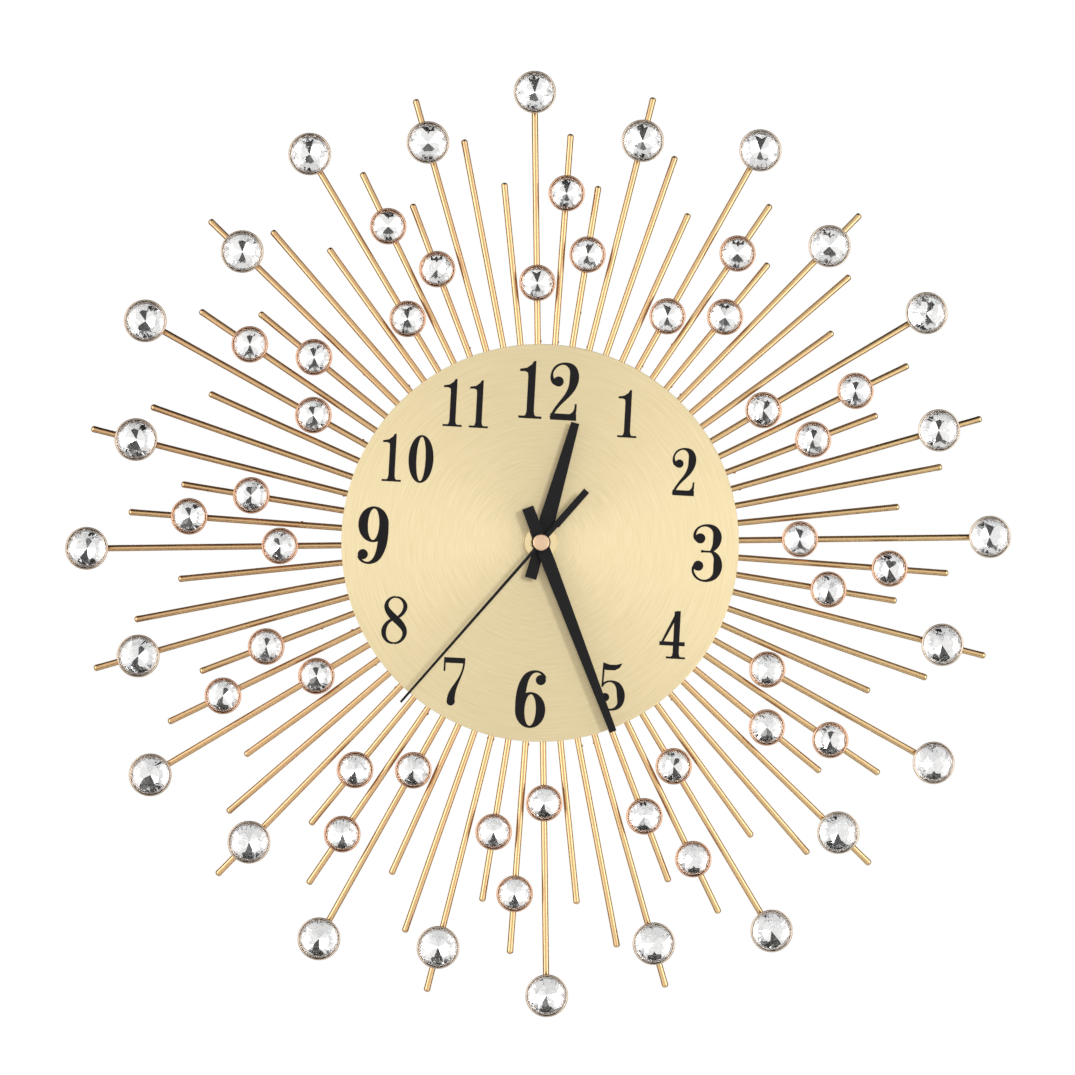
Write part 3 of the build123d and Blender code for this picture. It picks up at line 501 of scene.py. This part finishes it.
def set_stones(name, replaced, places, stone_mesh, ring_finish):
    """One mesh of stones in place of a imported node."""
    stone = bpy.data.objects.new(stone_mesh.name, stone_mesh)
    tree, given, result = grow(f"{name}_setting", ["Lean", "Seed"])
    lean_low = add_node(tree, "ShaderNodeMath", {"operation": "MULTIPLY"},
                        {"i0": given.outputs["Lean"]}, i1=-1)
    spin = add_node(tree, "FunctionNodeRandomValue", {"data_type": "FLOAT"},
                    {"i8": given.outputs["Seed"]})
    spin.inputs[2].default_value = 0.0
    spin.inputs[3].default_value = 2 * pi
    leans = []
    for seed_step in (1, 2):
        shifted = add_node(tree, "ShaderNodeMath", {"operation": "ADD"},
                           {"i0": given.outputs["Seed"]}, i1=seed_step)
        leans.append(add_node(tree, "FunctionNodeRandomValue", {"data_type": "FLOAT"}, {
            "i2": lean_low.outputs["Value"], "i3": given.outputs["Lean"], "i8": shifted.outputs["Value"]}))
    turn = add_node(tree, "ShaderNodeCombineXYZ", links={
        "i0": leans[0].outputs[1], "i1": leans[1].outputs[1], "i2": spin.outputs[1]})
    source = add_node(tree, "GeometryNodeObjectInfo")
    source.inputs["Object"].default_value = stone
    placed = add_node(tree, "GeometryNodeInstanceOnPoints", links={
        "i0": given.outputs["Geometry"], "i2": source.outputs["Geometry"]}, i5=FACING_VIEWER)
    leaned = add_node(tree, "GeometryNodeRotateInstances", links={
        "i0": placed.outputs["Instances"], "i2": turn.outputs["Vector"]})
    real = add_node(tree, "GeometryNodeRealizeInstances", links={"i0": leaned.outputs["Instances"]})
    dressed = add_node(tree, "GeometryNodeSetMaterial", links={"i0": real.outputs["Geometry"]})
    dressed.inputs["Material"].default_value = acrylic
    for mark, finish in (("foil", foil), ("ring", ring_finish)):
        marked = add_node(tree, "GeometryNodeInputNamedAttribute", {"data_type": "BOOLEAN"})
        marked.inputs["Name"].default_value = mark
        dressed = add_node(tree, "GeometryNodeSetMaterial", links={
            "i0": dressed.outputs["Geometry"], "i1": marked.outputs[0]})
        dressed.inputs["Material"].default_value = finish
    tree.links.new(dressed.outputs["Geometry"], result.inputs["Geometry"])
    piece = bake(point_mesh(f"{name}_places", places), tree,
                 {"Lean": LARGEST_LEAN, "Seed": LEAN_SEED}, name)
    bpy.data.objects.remove(stone)
    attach(piece, "frame")
    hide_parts(replaced)
    print(name, "has", len(places), "stones and", len(piece.data.polygons), "facets")


# %% Set both sizes of stone
large_stone = brilliant("large_brilliant", radius=12.3 * MM, crown=3.1 * MM, girdle=0.5 * MM,
                        pavilion=3.4 * MM)
small_stone = brilliant("small_brilliant", radius=10.35 * MM, crown=2.6 * MM, girdle=0.4 * MM,
                        pavilion=2.7 * MM)
set_stones("large_cut_stones", "large_stones", large_places, large_stone, large_ring)
set_stones("small_cut_stones", "small_stones", small_places, small_stone, small_ring)

# %% [markdown]
# ## Weld beads
# Every joint in the sunburst is brazed by hand: rods to the hoop, rods to the round plate, cups to rods.
# Each joint leaves a small bead of burnt copper on both sides of the rod, no two alike. A bead is only a
# squashed ball, so Geometry Nodes put a ball on each point, stretch it along the rod and vary its size.
# The same tree, asked to keep only a share of its points, makes the stray spatter just outside the dial.

# %% Bead finish
bead_finish = plated("burnt_copper_braze", "#B98457", "#8A5A3A", roughness=0.36, patch_mm=4)
print("bead finish:", bead_finish.name)

# %% [markdown]
# A bead has to lie along its rod, and a point doesn't know which way its rod runs. But every rod points
# straight out from the hands' axis, so the point's own place, flattened, gives the direction.

# %% The bead tree


def braze_tree():
    """Balls on points: Length runs along the rod, Width across it and Height out from the wall."""
    tree, given, result = grow("braze_beads", ["Length", "Width", "Height", "Share", "Seed"])
    ball = add_node(tree, "GeometryNodeMeshUVSphere", i0=8, i1=6, i2=1.0)
    smooth = add_node(tree, "GeometryNodeSetShadeSmooth", links={"i0": ball.outputs["Mesh"]})
    place = tree.nodes.new("GeometryNodeInputPosition")
    flat = add_node(tree, "ShaderNodeVectorMath", {"operation": "MULTIPLY"}, {
        "i0": place.outputs["Position"]}, i1=(1, 0, 1))
    across = add_node(tree, "ShaderNodeVectorMath", {"operation": "CROSS_PRODUCT"}, {
        "i0": flat.outputs["Vector"]}, i1=(0, 1, 0))
    along_rod = add_node(tree, "FunctionNodeAlignRotationToVector", {"axis": "Z"}, {
        "i2": flat.outputs["Vector"]})
    turned = add_node(tree, "FunctionNodeAlignRotationToVector", {"axis": "X", "pivot_axis": "Z"}, {
        "i0": along_rod.outputs["Rotation"], "i2": across.outputs["Vector"]})
    keep = add_node(tree, "FunctionNodeRandomValue", {"data_type": "BOOLEAN"}, {
        "i6": given.outputs["Share"], "i8": given.outputs["Seed"]})
    size = add_node(tree, "ShaderNodeCombineXYZ", links={
        "i0": given.outputs["Width"], "i1": given.outputs["Height"], "i2": given.outputs["Length"]})
    uneven = add_node(tree, "FunctionNodeRandomValue", {"data_type": "FLOAT_VECTOR"}, {
        "i8": given.outputs["Seed"]}, i0=(0.75, 0.8, 0.7), i1=(1.2, 1.1, 1.25))
    scaled = add_node(tree, "ShaderNodeVectorMath", {"operation": "MULTIPLY"}, {
        "i0": size.outputs["Vector"], "i1": uneven.outputs[0]})
    placed = add_node(tree, "GeometryNodeInstanceOnPoints", links={
        "i0": given.outputs["Geometry"], "i1": keep.outputs[3], "i2": smooth.outputs["Geometry"],
        "i5": turned.outputs["Rotation"], "i6": scaled.outputs["Vector"]})
    real = add_node(tree, "GeometryNodeRealizeInstances", links={"i0": placed.outputs["Instances"]})
    dressed = add_node(tree, "GeometryNodeSetMaterial", links={"i0": real.outputs["Geometry"]})
    dressed.inputs["Material"].default_value = bead_finish
    tree.links.new(dressed.outputs["Geometry"], result.inputs["Geometry"])
    return tree


bead_tree = braze_tree()


def braze(name, places, length, width, height, share=1.0, seed=3.0):
    """One plain mesh of beads, with its half sizes in millimetres."""
    sizes = {"Length": length * MM, "Width": width * MM, "Height": height * MM,
             "Share": share, "Seed": seed}
    piece = bake(point_mesh(f"{name}_places", places), bead_tree, sizes, name)
    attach(piece, "frame")
    print(name, "has", len(piece.data.polygons), "faces")


# %% [markdown]
# The beads go where two metals meet: at the hoop, at the edge of the round plate and behind each cup, and
# always on both sides of the rod. Spatter lands anywhere, so it starts from a regular row of places that
# steps in and out from rod to rod, and the tree keeps only a few of them.

# %% Where the beads go
ROD_DEPTH = 15.2              # mm out from the wall to the rods' middle
HOOP_REACH = 117.0            # mm from the hands' axis
HOOP_DEPTH = 13.35
PLATE_REACH = 123.2
PLATE_DEPTH = 16.9
CUP_INSET = 1.5
CUP_DEPTH = 16.75
NEAR_SPATTER = 128.6
FAR_SPATTER = 149


def both_sides(group, repeat, reach_mm, depth_mm, aside_mm):
    """The two places beside a rod."""
    middle = spoke(group, repeat, reach_mm, depth_mm)
    sideways = Vector((0, 1, 0)).cross(middle).normalized() * aside_mm * MM
    return [middle + sideways, middle - sideways]


def beside_rods(groups, reach_mm, depth_mm, aside_mm, step_mm=0.0, steps=1):
    """Places on both sides of every rod in some groups, stepping outwards from rod to rod."""
    return [place for group in groups for repeat in range(REPEATS)
            for place in both_sides(group, repeat, reach_mm + step_mm * (repeat % steps), depth_mm,
                                    aside_mm)]


hoop_joints = beside_rods(GROUPS, HOOP_REACH, HOOP_DEPTH, aside_mm=1.35)
plate_joints = beside_rods(GROUPS, PLATE_REACH, PLATE_DEPTH, aside_mm=1.6)
spatter = beside_rods(GROUPS, NEAR_SPATTER, ROD_DEPTH, aside_mm=1.9, step_mm=1.7, steps=3)
far_spatter = beside_rods("abcd", FAR_SPATTER, ROD_DEPTH, aside_mm=1.9, step_mm=3.1, steps=4)
cup_joints = []
for group, reach in [*LARGE_REACH.items(), *SMALL_REACH.items()]:
    cup_joints += beside_rods(group, reach - CUP_INSET, CUP_DEPTH, aside_mm=1.55)
print(len(hoop_joints), "places at the hoop,", len(cup_joints), "at the cups")

# %% Braze the joints
braze("hoop_braze", hoop_joints, length=1.5, width=0.9, height=0.7)
braze("plate_braze", plate_joints, length=1.3, width=0.9, height=0.6)
braze("cup_braze", cup_joints, length=3.0, width=0.8, height=0.6)
braze("rod_spatter", spatter, length=0.9, width=0.6, height=0.6, share=0.14, seed=11.0)
braze("far_rod_spatter", far_spatter, length=0.8, width=0.5, height=0.5, share=0.06, seed=4.0)

# %% [markdown]
# ## Moulded marks on the movement
# The back of a movement carries a few marks that stand a tenth of a millimetre proud of the moulding: a
# plus and a minus beside the battery bay, and a curved arrow over the setting knob. Each is a flat outline
# made solid, so that light catches its edges as it does on the real moulding.

# %% Marks
MARK_ROOT = 0.05 * MM         # how far a mark reaches into the case
MARK_HEIGHT = 0.12 * MM       # and how far it stands proud
case_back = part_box("movement_case")[1][1]
battery_low, battery_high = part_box("battery")
battery_z = (battery_low[2] + battery_high[2]) / 2 / MM
knob_low, knob_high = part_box("setting_knob")
knob_x, knob_z = [(knob_low[i] + knob_high[i]) / 2 / MM for i in (0, 2)]


def moulded_mark(name, outlines):
    """Flat outlines in (x, z) millimetres raised from the wall side of the movement case."""
    mesh = bmesh.new()
    for outline in outlines:
        loop = [mesh.verts.new((x * MM, case_back - MARK_ROOT, z * MM)) for x, z in outline]
        face = mesh.faces.new(loop)
        raised = bmesh.ops.extrude_face_region(mesh, geom=[face])["geom"]
        moved = [item for item in raised if isinstance(item, bmesh.types.BMVert)]
        bmesh.ops.translate(mesh, verts=moved, vec=(0, MARK_ROOT + MARK_HEIGHT, 0))
    bmesh.ops.recalc_face_normals(mesh, faces=mesh.faces)
    data = bpy.data.meshes.new(name)
    mesh.to_mesh(data)
    mesh.free()
    data.materials.append(case_finish)
    piece = bpy.data.objects.new(name, data)
    bpy.context.scene.collection.objects.link(piece)
    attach(piece, "frame")


def block(x, z, half_width, half_height):
    """A bar as one outline."""
    return [(x - half_width, z - half_height), (x + half_width, z - half_height),
            (x + half_width, z + half_height), (x - half_width, z + half_height)]


def cross(x, z, half, half_bar):
    """A plus sign as one outline."""
    corner = [(half_bar, half), (half_bar, half_bar), (half, half_bar)]
    points = []
    for quarter in range(4):
        for a, b in corner:
            for _ in range(quarter):
                a, b = b, -a
            points.append((x + a, z + b))
    return points


def curved_arrow(x, z, inner, outer, start, end):
    """An arc with a pointed head, its angles in degrees from +X."""
    steps = 24
    head_angle = 14           # degrees the pointed head runs on past the arc
    head_flare = 0.7          # mm it stands out on each side of the arc
    angles = [radians(start + (end - start) * i / steps) for i in range(steps + 1)]
    rim = [(x + outer * cos(a), z + outer * sin(a)) for a in angles]
    middle = (inner + outer) / 2
    tip = radians(end + head_angle)
    wide, narrow = outer + head_flare, inner - head_flare
    head = [(x + wide * cos(angles[-1]), z + wide * sin(angles[-1])),
            (x + middle * cos(tip), z + middle * sin(tip)),
            (x + narrow * cos(angles[-1]), z + narrow * sin(angles[-1]))]
    bore = [(x + inner * cos(a), z + inner * sin(a)) for a in reversed(angles)]
    return rim + head + bore


MARK_AT = 27.4                # mm from the middle of the case to the plus and the minus
BAR_HALF_LENGTH = 0.95
BAR_HALF_WIDTH = 0.22
moulded_mark("battery_plus", [cross(MARK_AT, battery_z, BAR_HALF_LENGTH, BAR_HALF_WIDTH)])
moulded_mark("battery_minus", [block(-MARK_AT, battery_z, BAR_HALF_LENGTH, BAR_HALF_WIDTH)])
moulded_mark("setting_arrow", [curved_arrow(knob_x, knob_z, inner=6.9, outer=7.5, start=30, end=140)])
print("moulded marks stand", round(MARK_HEIGHT / MM, 2), "mm proud")

# %% [markdown]
# ## Floor, lights and camera
# The clock hangs in front of plain white. The floor is far enough below that the stones hardly reflect
# it. It is a stage piece, so it isn't part of the clock.

# %% Floor
FLOOR_HEIGHT = -0.95
FLOOR_RADIUS = 0.85
floor_finish, tree, shader = new_finish("pale_studio_floor", Roughness=0.6)
grain = noise(tree, object_place(tree), period_mm=30, detail=4)
paint(tree, shader, grain, "#EDEDEB", "#F4F4F2")
floor_mesh = bmesh.new()
bmesh.ops.create_circle(floor_mesh, cap_ends=True, segments=96, radius=FLOOR_RADIUS,
                        matrix=Matrix.Translation((0, 0, FLOOR_HEIGHT)))
floor_data = bpy.data.meshes.new("studio_floor")
floor_mesh.to_mesh(floor_data)
floor_mesh.free()
floor_data.materials.append(floor_finish)
floor = bpy.data.objects.new("studio_floor", floor_data)
bpy.context.scene.collection.objects.link(floor)
print("the floor lies", -FLOOR_HEIGHT, "m below the hands' axis")

# %% [markdown]
# Two tall softboxes stand left and right. They draw the bright fans on the brushed dial and the light line
# along every rod, and the gap between them leaves the dial darker above and below. A smaller, stronger key
# lamp on the right throws the hands' soft shadows to the left. Its own small reflection would put a hard
# speck on every rod and stone, so glossy surfaces don't see it.

# %% Lamps


def softbox(name, place, width, height, watts):
    """A white rectangular lamp that faces the dial."""
    data = bpy.data.lights.new(name, "AREA")
    data.shape = "RECTANGLE"
    data.size = width
    data.size_y = height
    data.energy = watts
    lamp = bpy.data.objects.new(name, data)
    lamp.location = place
    lamp.rotation_euler = (-Vector(place)).to_track_quat("-Z", "Y").to_euler()
    bpy.context.scene.collection.objects.link(lamp)
    return lamp


softbox("left_softbox", (-1.25, -0.95, 0.05), width=0.9, height=1.5, watts=9)
softbox("right_softbox", (1.25, -0.95, 0.05), width=0.9, height=1.5, watts=8)
key = softbox("key_lamp", (0.80, -1.70, 0.42), width=0.34, height=0.34, watts=36)
key.visible_glossy = False
print("the key lamp stands", round(key.location.length, 2), "m from the dial")

# %% [markdown]
# The room itself is the last light. It is white in front of the clock and behind it, with a dark
# brown-grey band between them, and that band is what draws the brown edges on the rods. Straight above and
# below the clock the room is dark too, which gives each stone its dark bow-tie between two white halves.
# The camera itself sees plain white instead of the room, so that every rod's edge stays clear.

# %% Room light
# From the wall behind the clock (0) round the sides (0.5) to the room in front of it (1)
ROOM_LIGHT = [(0.0, "#E6E3DE"), (0.22, "#A39D95"), (0.38, "#3A332B"), (0.52, "#443C33"),
              (0.62, "#FFFDFA"), (0.9, "#F4F2EE")]
# How steeply a direction points up or down, less part of its lean to the side: level (0) to straight up (1)
STEEP_LIGHT = [(0.38, "#FFFFFF"), (0.46, "#2E2C2B")]
SIDE_SHARE = -0.75
ROOM_STRENGTH = 1.05          # in mirror-like surfaces
MATT_STRENGTH = 0.5           # on matt ones, lower so that the key lamp's shadows read
world = bpy.data.worlds.new("white_studio")
world.use_nodes = True
bpy.context.scene.world = world
tree = world.node_tree
tree.nodes.clear()
seen = add_node(tree, "ShaderNodeBackground", i0=(1, 1, 1, 1), i1=1.0)
way = add_node(tree, "ShaderNodeTexCoord")
split = add_node(tree, "ShaderNodeSeparateXYZ", links={"i0": way.outputs["Generated"]})
towards = add_node(tree, "ShaderNodeMapRange", i1=1.0, i2=-1.0, links={"i0": split.outputs["Y"]})
sideways = add_node(tree, "ShaderNodeMath", {"operation": "ABSOLUTE"}, {"i0": split.outputs["X"]})
upright = add_node(tree, "ShaderNodeMath", {"operation": "ABSOLUTE"}, {"i0": split.outputs["Z"]})
steep = add_node(tree, "ShaderNodeMath", {"operation": "MULTIPLY_ADD"},
                 {"i0": sideways.outputs["Value"], "i2": upright.outputs["Value"]}, i1=SIDE_SHARE)
room = add_node(tree, "ShaderNodeVectorMath", {"operation": "MULTIPLY"}, {
    "i0": ramp(tree, towards.outputs["Result"], ROOM_LIGHT),
    "i1": ramp(tree, steep.outputs["Value"], STEEP_LIGHT)})
path = add_node(tree, "ShaderNodeLightPath")
strength = add_node(tree, "ShaderNodeMapRange", i3=ROOM_STRENGTH, i4=MATT_STRENGTH,
                    links={"i0": path.outputs["Is Diffuse Ray"]})
fill = add_node(tree, "ShaderNodeBackground", links={
    "i0": room.outputs["Vector"], "i1": strength.outputs["Result"]})
mixed = add_node(tree, "ShaderNodeMixShader", links={
    "i0": path.outputs["Is Camera Ray"], "i1": fill.outputs[0], "i2": seen.outputs[0]})
add_node(tree, "ShaderNodeOutputWorld", links={"i0": mixed.outputs[0]})
print("room light:", ROOM_STRENGTH, "in reflections and", MATT_STRENGTH, "on matt surfaces")

# %% [markdown]
# The camera stands almost straight in front of the dial, slightly to the left and low, with a short
# telephoto lens so that the sunburst stays round. The clock hangs a little off level on its nail. Turning
# the engineered parts would break their frame, so the camera is rolled instead.

# %% Camera
CAMERA_DISTANCE = 1.6
CAMERA_LEFT = radians(1.65)
CAMERA_LOW = radians(1.0)
CAMERA_ROLL = radians(3.05)
AIM_MM = (-2.1, -17.6, 3.2)   # near the hands' axis, at the depth of the dial
FOCAL_LENGTH = 84.2
SENSOR_WIDTH = 36
aim = Vector(AIM_MM) * MM
away = Vector((-sin(CAMERA_LEFT), -cos(CAMERA_LEFT), -sin(CAMERA_LOW))).normalized()
lens = bpy.data.cameras.new("product_camera")
lens.sensor_width = SENSOR_WIDTH
lens.lens = FOCAL_LENGTH
lens.clip_start = 0.05
lens.clip_end = 50
camera = bpy.data.objects.new("product_camera", lens)
camera.location = aim + away * CAMERA_DISTANCE
camera.rotation_mode = "QUATERNION"
roll = Matrix.Rotation(CAMERA_ROLL, 3, "Z").to_quaternion()
camera.rotation_quaternion = (-away).to_track_quat("-Z", "Y") @ roll
bpy.context.scene.collection.objects.link(camera)
bpy.context.scene.camera = camera
bpy.context.scene.view_settings.view_transform = "Standard"
print("the camera stands", CAMERA_DISTANCE, "m away with a", FOCAL_LENGTH, "mm lens")
